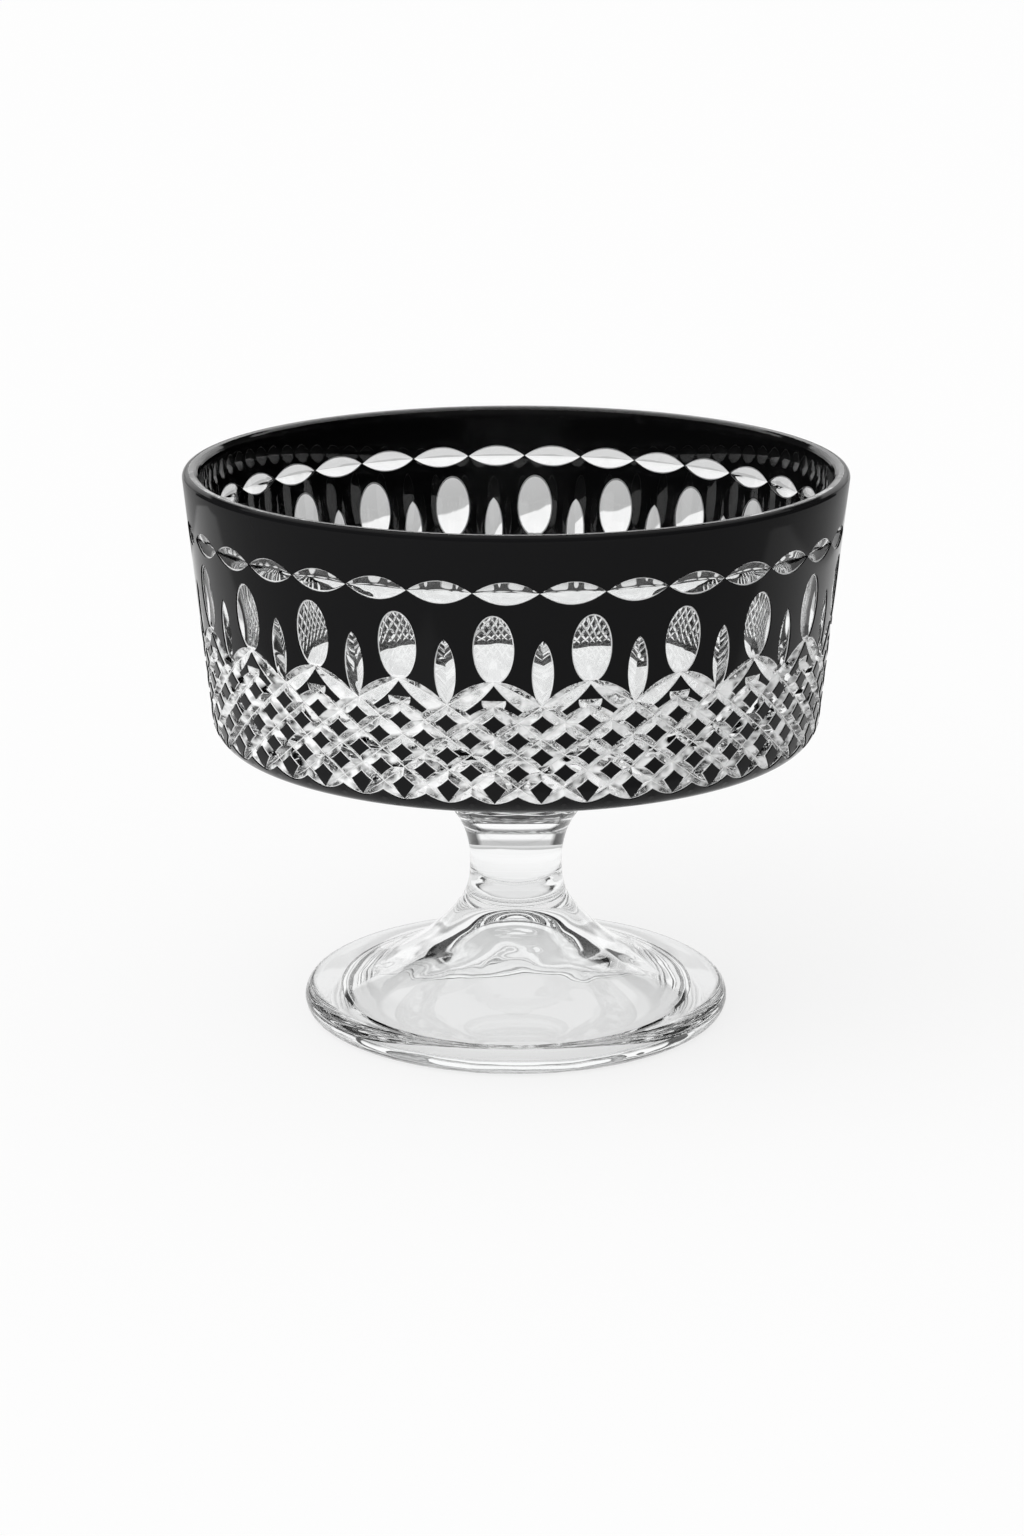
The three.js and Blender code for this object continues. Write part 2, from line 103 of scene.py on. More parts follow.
def casing_line(down, height):
    """Radius and z at a distance down the line: a quarter of a circle over the lip, a straight wall,
    an arc of a circle about the corner centre, then a straight underside; height moves the point
    out along the normal."""
    over_lip = np.minimum(down - LIP_END, 0) / LIP_RADIUS
    lean = WALL_TAPER + over_lip + np.clip((down - WALL_END) / CORNER_RADIUS, 0, CORNER_TURN)
    wall = np.maximum(WALL_END - np.maximum(down, LIP_END), 0)
    under = np.maximum(down - CORNER_END, 0)
    bend = np.where(down < LIP_END, LIP_RADIUS, CORNER_RADIUS)
    radius = (corner_x + (CORNER_RADIUS - bend) * np.cos(WALL_TAPER) + (bend + height) * np.cos(lean)
              + wall * np.sin(WALL_TAPER) - under * np.cos(UNDERSIDE_SLOPE))
    z = (corner_z - (CORNER_RADIUS - bend) * np.sin(WALL_TAPER) - (bend + height) * np.sin(lean)
         + wall * np.cos(WALL_TAPER) - under * np.sin(UNDERSIDE_SLOPE))
    return radius, z


def on_bowl(marks):
    """Points in millimetres for marks of (angle, down, height): the casing line, turned round."""
    radius, z = casing_line(marks[..., 1], marks[..., 2])
    angle = marks[..., 0]
    return np.stack([radius * np.sin(angle), -radius * np.cos(angle), z], -1)


print(f"straight wall {WALL_END:.1f} mm, corner to {CORNER_END:.1f} mm")

# %% [markdown]
# ## From grids to meshes
#
# Each surface is a grid of points. The tools here split a grid into triangles, weld the grids of one
# piece along their common edges, and count the edges that are left open, which has to be none.

# %% From grids to meshes
def grid_triangles(rows, cols):
    """Two triangles for each square of a grid of rows by cols points."""
    spot = np.arange(rows * cols).reshape(rows, cols)
    a, b, c, d = spot[:-1, :-1], spot[1:, :-1], spot[1:, 1:], spot[:-1, 1:]
    return np.stack([a, b, c, a, c, d], -1).reshape(-1, 3)


def surface(grids):
    """Points and triangles of a stack of equal grids: axes are copies, rows, columns, numbers."""
    rows, cols, size = grids.shape[-3:]
    points = grids.reshape(-1, size)
    starts = np.arange(0, len(points), rows * cols)
    faces = grid_triangles(rows, cols)[None] + starts[:, None, None]
    return points, faces.reshape(-1, 3)


LEAST_AREA = 1e-9
CREASE = np.radians(10)


def facing_out(marks, faces):
    """Triangles of marks turned so that, seen from outside, they run against the clock. The sign of
    the area in the plane of angle and distance down tells which way a triangle runs."""
    p, q, r = (marks[faces[:, k], :2] for k in range(3))
    (q_x, q_y), (r_x, r_y) = (q - p).T, (r - p).T
    area = q_x * r_y - q_y * r_x
    return np.where((area > 0)[:, None], faces[:, [0, 2, 1]], faces)[np.abs(area) > LEAST_AREA]


def welded(parts, step=1e-3):
    """One set of points, triangles and finishes from many: points that round to the same step become
    one, and triangles that lose a side that way are left out."""
    points = np.concatenate([part[0] for part in parts])
    counts = np.cumsum([0] + [len(part[0]) for part in parts[:-1]])
    faces = np.concatenate([part[1] + start for part, start in zip(parts, counts)])
    finish = np.concatenate([np.full(len(part[1]), part[2]) for part in parts])
    _, first, name = np.unique(
        np.round(points / step), axis=0, return_index=True, return_inverse=True)
    faces = name.reshape(-1)[faces]
    whole = (faces != np.roll(faces, 1, axis=1)).all(axis=1)
    return points[first], faces[whole], finish[whole]


def free_edges(faces):
    """Directed edges of the triangles that no other triangle runs along the other way."""
    edges = np.concatenate([faces[:, [0, 1]], faces[:, [1, 2]], faces[:, [2, 0]]])
    size = faces.max() + 1
    return edges[~np.isin(edges[:, 0] * size + edges[:, 1], edges[:, 1] * size + edges[:, 0])]


def add_piece(name, mesh_parts, finishes):
    """A mesh object from welded parts in millimetres, smooth except along creases."""
    points, faces, finish = mesh_parts
    mesh = bpy.data.meshes.new(name)
    mesh.from_pydata((points * MM).tolist(), [], faces.tolist())
    for material in finishes:
        mesh.materials.append(material)
    mesh.polygons.foreach_set("material_index", finish.astype(np.int32))
    mesh.polygons.foreach_set("use_smooth", np.ones(len(faces), bool))
    mesh.set_sharp_from_angle(angle=CREASE)
    mesh.update()
    piece = bpy.data.objects.new(name, mesh)
    bpy.context.scene.collection.objects.link(piece)
    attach(piece, "root")
    print(f"{name}: {len(faces)} triangles, {len(free_edges(faces))} open edges")
    return piece


# %% [markdown]
# ## Finishes
#
# Clear crystal is a Principled shader that lets all light through and bends it as lead crystal does.
# Fire-polished faces carry only a very faint wave. Faces drawn out by hand, under the bowl and in
# the hollow of the foot, ripple more. The polished windows keep a soft wave from the wheel, and the
# ground mitre cuts scatter part of the light in blotches, which makes them bright. Where two clear
# pieces are welded, the joint is fully transparent, as there is no surface in the real glass.

# %% Finishes
CRYSTAL_IOR = 1.545
CRYSTAL_TINT = (0.99, 0.995, 0.995, 1)
LAMP_SHARE = 0.96
NOISE_LOW, NOISE_HIGH = 0.35, 0.65
BLACK_TINT = (0.0075, 0.0075, 0.008, 1)
BLACK_GLOSS = 0.1


def new_material(name):
    """A node material, with its nodes and links."""
    material = bpy.data.materials.new(name)
    material.use_nodes = True
    return material, material.node_tree.nodes, material.node_tree.links


def wave(nodes, links, scale, strength, height, rough_low, rough_high, detail, streak=1):
    """Surface of a Principled shader: one noise pattern on the piece's own coordinates moves the
    roughness between two values and raises a wave of a height in millimetres. Streak squeezes the
    pattern upright, so that above 1 it runs round the bowl. Returns the pattern."""
    shader = nodes["Principled BSDF"]
    place = nodes.new("ShaderNodeTexCoord")
    squeeze = nodes.new("ShaderNodeMapping")
    squeeze.inputs["Scale"].default_value = (1, 1, streak)
    links.new(place.outputs["Object"], squeeze.inputs["Vector"])
    noise = nodes.new("ShaderNodeTexNoise")
    noise.inputs["Scale"].default_value = scale
    noise.inputs["Detail"].default_value = detail
    links.new(squeeze.outputs["Vector"], noise.inputs["Vector"])
    span = nodes.new("ShaderNodeMapRange")
    span.inputs["To Min"].default_value = rough_low
    span.inputs["To Max"].default_value = rough_high
    links.new(noise.outputs["Fac"], span.inputs["Value"])
    links.new(span.outputs["Result"], shader.inputs["Roughness"])
    bump = nodes.new("ShaderNodeBump")
    bump.inputs["Strength"].default_value = strength
    bump.inputs["Distance"].default_value = height * MM
    links.new(noise.outputs["Fac"], bump.inputs["Height"])
    links.new(bump.outputs["Normal"], shader.inputs["Normal"])
    return noise.outputs["Fac"]


def clear_crystal(name, wave_scale, wave_strength, wave_height=0.1, detail=3, streak=1,
                  rough_low=0, rough_high=0.01, milk=0, milk_swing=0):
    """Clear glass with a wave. Milk is the share of light that a ground face scatters, and swing is
    how far that share goes up and down with the pattern of the wave; from inside the glass, where
    scattered light is lost, such a face is clear. Light from the lamp goes straight through."""
    material, nodes, links = new_material(name)
    shader = nodes["Principled BSDF"]
    shader.inputs["Base Color"].default_value = CRYSTAL_TINT
    shader.inputs["Transmission Weight"].default_value = 1 - milk
    shader.inputs["IOR"].default_value = CRYSTAL_IOR
    pattern = wave(nodes, links, wave_scale, wave_strength, wave_height, rough_low, rough_high,
                   detail, streak)
    if milk_swing:
        share = nodes.new("ShaderNodeMapRange")
        share.inputs["From Min"].default_value = NOISE_LOW
        share.inputs["From Max"].default_value = NOISE_HIGH
        share.inputs["To Min"].default_value = 1 - milk - milk_swing
        share.inputs["To Max"].default_value = 1 - milk + milk_swing
        links.new(pattern, share.inputs["Value"])
        side = nodes.new("ShaderNodeNewGeometry")
        clearer = nodes.new("ShaderNodeMath")
        clearer.operation = "MAXIMUM"
        clearer.use_clamp = True
        links.new(share.outputs["Result"], clearer.inputs[0])
        links.new(side.outputs["Backfacing"], clearer.inputs[1])
        links.new(clearer.outputs["Value"], shader.inputs["Transmission Weight"])
    path = nodes.new("ShaderNodeLightPath")
    clear = nodes.new("ShaderNodeBsdfTransparent")
    clear.inputs["Color"].default_value = (LAMP_SHARE, LAMP_SHARE, LAMP_SHARE, 1)
    mix = nodes.new("ShaderNodeMixShader")
    links.new(path.outputs["Is Shadow Ray"], mix.inputs["Fac"])
    links.new(shader.outputs["BSDF"], mix.inputs[1])
    links.new(clear.outputs["BSDF"], mix.inputs[2])
    links.new(mix.outputs["Shader"], nodes["Material Output"].inputs["Surface"])
    return material


def black_glass(name):
    """Opaque black glass with a soft wave in its polish."""
    material, nodes, links = new_material(name)
    shader = nodes["Principled BSDF"]
    shader.inputs["Base Color"].default_value = BLACK_TINT
    shader.inputs["Specular IOR Level"].default_value = BLACK_GLOSS
    wave(nodes, links, scale=45, strength=0.15, height=0.2, rough_low=0.02, rough_high=0.09, detail=2)
    return material


def welded_joint(name):
    """A face inside the glass, where two clear pieces are one: light goes straight through."""
    material, nodes, links = new_material(name)
    nodes.remove(nodes["Principled BSDF"])
    clear = nodes.new("ShaderNodeBsdfTransparent")
    links.new(clear.outputs["BSDF"], nodes["Material Output"].inputs["Surface"])
    return material


polished = clear_crystal("crystal_polished", wave_scale=30, wave_strength=0.02, rough_high=0.012)
window_cut = clear_crystal("crystal_window_cut", wave_scale=110, wave_strength=0.6, wave_height=0.8,
                           detail=0.6, streak=0.6)
mitre_cut = clear_crystal("crystal_mitre_cut", wave_scale=200, wave_strength=1, wave_height=0.9,
                          detail=1, streak=1.5, rough_high=0.02, milk=0.3, milk_swing=0.7)
cut_edge = clear_crystal("crystal_cut_edge", wave_scale=500, wave_strength=0.1, rough_low=0.1,
                         rough_high=0.3, milk=0.85)
drawn = clear_crystal("crystal_drawn", wave_scale=55, wave_strength=0.8, wave_height=1.2, detail=1.2)
black = black_glass("black_casing")
joint = welded_joint("welded_joint")
clear_finishes = [polished, window_cut, mitre_cut, cut_edge, drawn, joint]
POLISHED, WINDOW, MITRE, EDGE, DRAWN, JOINT = range(len(clear_finishes))
print("finishes:", [finish.name for finish in clear_finishes + [black]])

# %% [markdown]
# ## The cut pattern as curves
#
# The cutter works from a grid marked on the black: upright ovals at even steps round the wall, a
# pointed split between every two, and below them a trellis of slanting mitre cuts. The topmost
# mitre cuts form a zigzag that climbs to the foot of each oval. All curves of one half step are
# written here once, as (x, down) in millimetres with x measured from the middle of an oval.

# %% The cut pattern as curves
OVALS = 22
OLIVES = 33
OVAL_TURN = np.radians(-3.8)
OLIVE_TURN = np.radians(-1.7)
PATTERN_RADIUS = 97.5
FULL_TURN = 2 * np.pi
OVAL_STEP = FULL_TURN / OVALS
OLIVE_STEP = FULL_TURN / OLIVES
HALF_STEP = OVAL_STEP / 2 * PATTERN_RADIUS

CASING = 0.45
LAND = -CASING

OVAL_MIDDLE = 33.4
OVAL_HALF_WIDTH = 5.85
OVAL_HALF_LENGTH = 10.3
PEAK = np.array([0, 43.08])
VALLEY = np.array([HALF_STEP, 50.9])
ROW = 4.95
ZIGZAG_HALF_WIDTH = 2.2
ZIGZAG_BLUNTNESS = 0.7
SPLIT_TOP = np.array([HALF_STEP, 30.6])
SPLIT_HALF_WIDTH = 3.15
SPLIT_BLUNTNESS = 0.7
CHAIN_TO_FIELD = 21.6

# Grid steps along the curves: the olive ring and the oval ring share one count round the bowl.
STEPS_OLIVE = 12
STEPS_FIELD = 9
STEPS_TO_SPLIT = 4
STEPS_SPLIT = 14
STEPS_OVAL = STEPS_TO_SPLIT + STEPS_SPLIT
STEPS_TIP = 3
STEPS_MITRE = 4
EDGE_SHARE = 0.11
RIDGE_SHARE = 0.92


def line(start, end, steps):
    """Even points from start to end."""
    share = np.linspace(0, 1, steps + 1)[:, None]
    return np.asarray(start) * (1 - share) + np.asarray(end) * share


def bulge(share):
    """The parabola 4 s (1 - s): 0 at both ends and 1 in the middle."""
    return 4 * share * (1 - share)


def bowed(start, end, sag, shares):
    """Points at shares of the way from start to end, on a parabola that stands off by sag, to the
    right of the way as x runs right and down runs down."""
    start, end = np.asarray(start, float), np.asarray(end, float)
    share = np.asarray(shares)[:, None]
    way = end - start
    side = np.array([-way[1], way[0]]) / np.hypot(*way)
    return start + way * share + side * bulge(share) * sag


def lens_width(share, half_width, bluntness):
    """Half width of a pointed cut at a share of its length: a power of the parabola."""
    return half_width * bulge(share) ** bluntness


zig_way = VALLEY - PEAK
zig_up = np.array([zig_way[1], -zig_way[0]]) / np.hypot(*zig_way)


def zigzag_upper(share):
    """Upper edge of a zigzag cut from peak to valley."""
    share = np.asarray(share)[:, None]
    half_width = lens_width(share, ZIGZAG_HALF_WIDTH, ZIGZAG_BLUNTNESS)
    return PEAK + zig_way * share + zig_up * half_width


def split_edge(share):
    """Left edge of the split from its top to the valley."""
    share = np.asarray(share)[:, None]
    centre = SPLIT_TOP + (VALLEY - SPLIT_TOP) * share
    return centre - np.array([1, 0]) * lens_width(share, SPLIT_HALF_WIDTH, SPLIT_BLUNTNESS)


def oval_edge(turn):
    """Right side of the oval, turn running from 0 at the top to pi at the foot."""
    turn = np.asarray(turn)[:, None]
    return np.concatenate(
        [OVAL_HALF_WIDTH * np.sin(turn), OVAL_MIDDLE - OVAL_HALF_LENGTH * np.cos(turn)], 1)


# The zigzag edge leaves the oval at one corner and reaches the split at another.
TRIALS = 2000
trial = np.linspace(0.01, 0.99, TRIALS)
edge = zigzag_upper(trial)
from_oval = (edge - [0, OVAL_MIDDLE]) / [OVAL_HALF_WIDTH, OVAL_HALF_LENGTH]
in_oval = (from_oval ** 2).sum(axis=1) < 1
OVAL_CORNER = trial[np.argmin(in_oval)]
split_trial = split_edge(trial)
in_split = edge[:, 0] > np.interp(edge[:, 1], split_trial[:, 1], split_trial[:, 0])
SPLIT_CORNER = trial[np.argmax(in_split & (trial > 0.5))]
oval_corner, split_corner = zigzag_upper([OVAL_CORNER, SPLIT_CORNER])
oval_corner_turn = np.arctan2(
    oval_corner[0] / OVAL_HALF_WIDTH, (OVAL_MIDDLE - oval_corner[1]) / OVAL_HALF_LENGTH)
split_corner_share = (split_corner[1] - SPLIT_TOP[1]) / (VALLEY[1] - SPLIT_TOP[1])
print("zigzag leaves the oval at", oval_corner.round(2), "and meets the split at",
      split_corner.round(2))

zig_shares = np.concatenate([
    np.linspace(0, OVAL_CORNER, STEPS_TIP + 1),
    np.linspace(OVAL_CORNER, SPLIT_CORNER, STEPS_FIELD + 1)[1:]])
zig_edge = zigzag_upper(zig_shares)
zig_floor_shares = zig_shares / SPLIT_CORNER
zig_floor = PEAK + zig_way * zig_floor_shares[:, None]
oval_side = oval_edge(np.linspace(0, oval_corner_turn, STEPS_OVAL + 1))
oval_side[-1] = oval_corner
split_shares = np.linspace(0, 1, STEPS_SPLIT + 1)
split_side = split_edge(split_shares * split_corner_share)
split_side[-1] = split_corner
split_floor = SPLIT_TOP + (VALLEY - SPLIT_TOP) * split_shares[:, None]

# %% [markdown]
# ## The black shapes that are left
#
# Under each oval the cuts leave a black tent with a notch in its foot, then rows of small black
# diamonds, and at the very bottom the scalloped edge of the base. Their corners are measured on the
# photograph; their sides are slightly bowed, because a wheel cut is widest half way along.

# %% The black shapes that are left
def crossing(row, quarter):
    """Where two mitre cuts cross: rows run down, quarters of an oval step run round."""
    return np.array([quarter * HALF_STEP / 2, VALLEY[1] + row * ROW])


DIAMOND_HALF_WIDTH = 3.35
DIAMOND_HALF_HEIGHT = 2.65
LAST_DIAMOND_DROP = 4.55
SIDE_BOW = 0.12
TRELLIS_ROWS = 6
TENT_APEX = np.array([0, 44.1])
TENT_CORNER = crossing(1, 1) + np.array([1.25, -3.85])
TENT_FOOT = crossing(1, 1) + np.array([-0.05, -2.75])
NOTCH_FOOT = crossing(0, 0) + np.array([2.95, 0])
NOTCH_TIP = crossing(0, 0) + np.array([3.45, -2.4])
NOTCH_TOP = crossing(0, 0) + np.array([0, -2.4])
TENT_BOW = 0.5
TENT_STOPS = (0, 0.5, 0.72, 1)
NOTCH_ROOF_BOW = 0.05
NOTCH_SIDE_BOW = -0.25
SCALLOP_TOP = 2.3
SCALLOP_FOOT = 0.35
SCALLOP_POWER = 1.6

even = np.linspace(0, 1, STEPS_MITRE + 1)
to_notch = np.interp(np.arange(3 * STEPS_MITRE + 1), np.arange(4) * STEPS_MITRE, TENT_STOPS)
tent_upper = bowed(TENT_APEX, TENT_CORNER, TENT_BOW, to_notch)
tent_end = line(TENT_CORNER, TENT_FOOT, STEPS_MITRE)
notch_roof = bowed(NOTCH_TOP, NOTCH_TIP, NOTCH_ROOF_BOW, even)
notch_side = bowed(NOTCH_TIP, NOTCH_FOOT, NOTCH_SIDE_BOW, even)
tent_under = bowed(NOTCH_FOOT, TENT_FOOT, -SIDE_BOW, even)
tent_lower = np.concatenate([notch_roof, notch_side[1:], tent_under[1:]])
print("tent from", TENT_APEX, "to", TENT_FOOT.round(2))


def coons(top, bottom, left, right):
    """Patch between four curves: the sum of the two ruled patches less the flat one through the
    corners. Top and bottom run along u, left and right along v."""
    u = np.linspace(0, 1, len(top))[:, None, None]
    v = np.linspace(0, 1, len(left))[None, :, None]
    across = top[:, None] * (1 - v) + bottom[:, None] * v
    along = left[None] * (1 - u) + right[None] * u
    corners = (top[0] * (1 - u) * (1 - v) + top[-1] * u * (1 - v)
               + bottom[0] * (1 - u) * v + bottom[-1] * u * v)
    return across + along - corners


def ruled(first, second, steps):
    """Patch of straight lines between the points of two curves."""
    share = np.linspace(0, 1, steps + 1)[None, :, None]
    return first[:, None] * (1 - share) + second[:, None] * share


def with_height(places, height):
    """Marks from places of (x, down) and a height for each."""
    height = np.broadcast_to(np.asarray(height, float), places.shape[:-1])
    return np.concatenate([places, height[..., None]], -1)


def facet(edge_places, floor_places, floor_height):
    """Ruled face of a cut: straight lines from its edge down to its floor line, with a narrow strip
    along each of the two."""
    edge_marks = with_height(edge_places, LAND)
    floor_marks = with_height(floor_places, floor_height)
    share = np.array([0, EDGE_SHARE, (EDGE_SHARE + RIDGE_SHARE) / 2, RIDGE_SHARE, 1])[None, :, None]
    return edge_marks[:, None] * (1 - share) + floor_marks[:, None] * share


def round_bowl(cell, quarters=(0,), mirror=False):
    """Copies of a cell of (x, down, height) marks at every oval step, moved by quarters of a step,
    and their mirror images where asked for."""
    sides = np.array([1, -1]) if mirror else np.array([1])
    starts = OVAL_TURN + OVAL_STEP * (np.arange(OVALS)[:, None] + np.asarray(quarters)[None, :] / 4)
    marks = np.empty((OVALS, len(quarters), len(sides)) + cell.shape)
    marks[..., 1:] = cell[..., 1:]
    turn = cell[..., 0] / PATTERN_RADIUS
    marks[..., 0] = starts[:, :, None, None, None] + sides[:, None, None] * turn
    return marks.reshape((-1,) + cell.shape)


# %% [markdown]
# ## Depth of the cuts
#
# A mitre wheel leaves a V-shaped groove. Along the trellis it runs at one depth and shallows out
# where the cut ends, at the peaks, the notches and the scallops. A split is a single groove that
# starts at its tip and is deepest where it runs into the zigzag. An olive is deepest in the middle.
# Ovals come from a round-edged wheel and are smooth dishes.

# %% Depth of the cuts
MITRE_DEPTH = 1.3
HEM_DEPTH = 0.5
OVAL_DEPTH = 0.65
OLIVE_DEPTH = 0.9
MITRE_DIP = 0.15
RUNOUT_POWER = 2.4
NOTCH_POWER = 1.4
CROSSING_FLOOR = LAND - MITRE_DEPTH


def runout(share):
    """Share of the full depth from the blunt end of a cut to its run."""
    return 1 - (1 - share) ** RUNOUT_POWER


mitre_floor = CROSSING_FLOOR - MITRE_DIP * bulge(even)
hem_floor = CROSSING_FLOOR + (MITRE_DEPTH - HEM_DEPTH) * even ** 2
zig_floor_height = LAND - MITRE_DEPTH * runout(zig_floor_shares)
split_floor_height = LAND - MITRE_DEPTH * runout(split_shares)
notch_floor_height = LAND - MITRE_DEPTH * (1 - even) ** NOTCH_POWER
print(f"depths: mitre {MITRE_DEPTH} mm, oval {OVAL_DEPTH} mm, olive {OLIVE_DEPTH} mm")

# %% [markdown]
# ## All patches of the outside
#
# The patches come in two sorts: cut faces, which only the clear bowl has, and lands, which the clear
# bowl has under the black and the casing has on top.

# %% All patches of the outside
window_patches = []
mitre_patches = []
field_lands = []
tent_lands = []
base_lands = []

# Zigzag, tent, notch and split
notch_floor = line(crossing(0, 0), NOTCH_TIP, STEPS_MITRE)
for edge_places, floor_places, depth in (
        (zig_edge, zig_floor, zig_floor_height),
        (tent_upper, zig_floor, zig_floor_height),
        (tent_end, line(VALLEY, crossing(1, 1), STEPS_MITRE), mitre_floor),
        (tent_under, line(crossing(0, 0), crossing(1, 1), STEPS_MITRE), mitre_floor),
        (notch_roof, notch_floor, notch_floor_height),
        (notch_side[::-1], notch_floor, notch_floor_height)):
    mitre_patches.append(round_bowl(facet(edge_places, floor_places, depth), mirror=True))
window_patches.append(round_bowl(facet(split_side, split_floor, split_floor_height), mirror=True))
tent = ruled(tent_upper, tent_lower, STEPS_MITRE)
tent_lands.append(round_bowl(with_height(tent, LAND), mirror=True))

# Oval dish: rays from its deepest place to the outline, with the depth of a bowl
outline = np.concatenate([oval_side, zig_edge[:STEPS_TIP][::-1]])
RINGS_OVAL = 8
ring_share = np.concatenate([[1], np.linspace(1 - EDGE_SHARE / 2, 0, RINGS_OVAL)])
oval_centre = np.array([0, OVAL_MIDDLE])
dish = oval_centre + (outline[:, None] - oval_centre) * ring_share[None, :, None]
dish_marks = with_height(dish, LAND - OVAL_DEPTH * (1 - ring_share ** 2))
window_patches.append(round_bowl(dish_marks, mirror=True))

# Black field round the windows, one half step
field_outer = np.concatenate([
    line((0, CHAIN_TO_FIELD), (HALF_STEP, CHAIN_TO_FIELD), STEPS_FIELD),
    line((HALF_STEP, CHAIN_TO_FIELD), SPLIT_TOP, STEPS_TO_SPLIT)[1:],
    split_side[1:]])
field_inner = np.concatenate([oval_side, zig_edge[STEPS_TIP + 1:]])
field = ruled(field_outer, field_inner, STEPS_MITRE)
field_lands.append(round_bowl(with_height(field, LAND), mirror=True))


def diamond(row, drop):
    """Corners of a black diamond about the middle of its cell, and the crossings of the cuts round
    it, both from the top by the right."""
    middle = np.array([0, VALLEY[1] + row * ROW])
    corners = middle + np.array([
        [0, -DIAMOND_HALF_HEIGHT], [DIAMOND_HALF_WIDTH, 0], [0, drop], [-DIAMOND_HALF_WIDTH, 0]])
    crossings = middle + np.array([[0, -ROW], [HALF_STEP / 2, 0], [0, ROW], [-HALF_STEP / 2, 0]])
    return corners, crossings


for row in range(1, TRELLIS_ROWS):
    last = row == TRELLIS_ROWS - 1
    corners, crossings = diamond(row, LAST_DIAMOND_DROP if last else DIAMOND_HALF_HEIGHT)
    quarters = (0, 2) if row % 2 else (1, 3)
    bows = [SIDE_BOW, 0, 0, SIDE_BOW] if last else [SIDE_BOW] * 4
    depths = [mitre_floor, hem_floor, hem_floor[::-1], mitre_floor] if last else [mitre_floor] * 4
    sides = [bowed(corners[k], corners[(k + 1) % 4], bows[k], even) for k in range(4)]
    for k in range(4):
        floor_places = line(crossings[k], crossings[(k + 1) % 4], STEPS_MITRE)
        mitre_patches.append(round_bowl(facet(sides[k], floor_places, depths[k]), quarters))
    crown = coons(sides[0], sides[2][::-1], sides[3][::-1], sides[1])
    tent_lands.append(round_bowl(with_height(crown, LAND), quarters))

# Scalloped hem and the black base below it
BASE_RING = 83.0
ROWS_BASE = 2
hem_x = HALF_STEP / 2 * even
hem_low = VALLEY[1] + TRELLIS_ROWS * ROW + SCALLOP_FOOT
hem_high = VALLEY[1] + (TRELLIS_ROWS - 1) * ROW + SCALLOP_TOP
hem_edge = np.stack([hem_x, hem_low - (hem_low - hem_high) * even ** SCALLOP_POWER], -1)
hem_line = line(crossing(TRELLIS_ROWS, 0), crossing(TRELLIS_ROWS - 1, 1), STEPS_MITRE)
mitre_patches.append(round_bowl(facet(hem_edge, hem_line, hem_floor[::-1]), (0, 2), mirror=True))
base_ring = np.stack([hem_x, np.full_like(hem_x, BASE_RING)], -1)
base_patch = ruled(hem_edge, base_ring, ROWS_BASE)
base_lands.append(round_bowl(with_height(base_patch, LAND), (0, 2), mirror=True))
print(len(window_patches) + len(mitre_patches), "sorts of cut face")

# %% [markdown]
# ## Olive chain and rims
#
# The chain under the rim has half as many olives again as there are ovals, and it starts at its own
# angle. One ring of points between chain and ovals takes up the difference. Above the chain the
# black runs up the wall and over the outer half of the lip, where it thins out to a feather edge.

# %% Olive chain and rims
OLIVE_MIDDLE = 16.7
OLIVE_HALF_HEIGHT = 3.45
STEPS_SHOULDER = 6
SHOULDER_POWER = 0.75
ROWS_BAND = 4
ROWS_LIP = 7
ROWS_LEDGE = 2
FEATHER = 0.05


def ring_places(angle, down):
    """Places of (angle, down) from two arrays or numbers that fit each other."""
    return np.stack(np.broadcast_arrays(angle, down), -1)


def rounded_facet(edge_places, floor_places, floor_height):
    """Face of a cut whose shoulder is rounded in polishing: its height climbs from the floor line to
    the edge as a power of the share of the way, fast at first."""
    share = np.concatenate([[1], np.linspace(1 - EDGE_SHARE, 0, STEPS_SHOULDER)])[None, :, None]
    places = edge_places[:, None] * share + floor_places[:, None] * (1 - share)
    climb = share[..., 0] ** SHOULDER_POWER
    return with_height(places, LAND * climb + floor_height[:, None] * (1 - climb))


def round_chain(cell):
    """Copies of a cell of (angle, down, height) marks at every olive."""
    marks = np.broadcast_to(cell, (OLIVES,) + cell.shape).copy()
    marks[..., 0] += (OLIVE_TURN + OLIVE_STEP * np.arange(OLIVES))[:, None, None]
    return marks


olive_share = np.linspace(0, 1, STEPS_OLIVE + 1)
olive_angle = (olive_share - 0.5) * OLIVE_STEP
olive_rise = OLIVE_HALF_HEIGHT * bulge(olive_share)
olive_upper = ring_places(olive_angle, OLIVE_MIDDLE - olive_rise)
olive_lower = ring_places(olive_angle, OLIVE_MIDDLE + olive_rise)
olive_line = ring_places(olive_angle, OLIVE_MIDDLE)
olive_floor_height = LAND - OLIVE_DEPTH * bulge(olive_share)
for olive_edge in (olive_upper, olive_lower):
    window_patches.append(round_chain(rounded_facet(olive_edge, olive_line, olive_floor_height)))

# Black band from the chain up to the lip, and over it
band = ruled(ring_places(olive_angle, LIP_END), olive_upper, ROWS_BAND)
lip_band = ring_places(olive_angle[:, None], np.linspace(LIP_START, LIP_END, ROWS_LIP)[None, :])
lip_land = LAND * np.linspace(FEATHER, 1, ROWS_LIP)
rim_lands = [round_chain(with_height(lip_band, lip_land)), round_chain(with_height(band, LAND))]

# Black ledge from the chain down to the ring of points that it shares with the ovals
ring_step = FULL_TURN / (OLIVES * STEPS_OLIVE)
shift = OVAL_TURN + ring_step * np.round((OLIVE_TURN - OVAL_TURN) / ring_step) - OLIVE_TURN
ledge = ruled(olive_lower, ring_places(olive_angle + shift, CHAIN_TO_FIELD), ROWS_LEDGE)
field_lands.append(round_chain(with_height(ledge, LAND)))

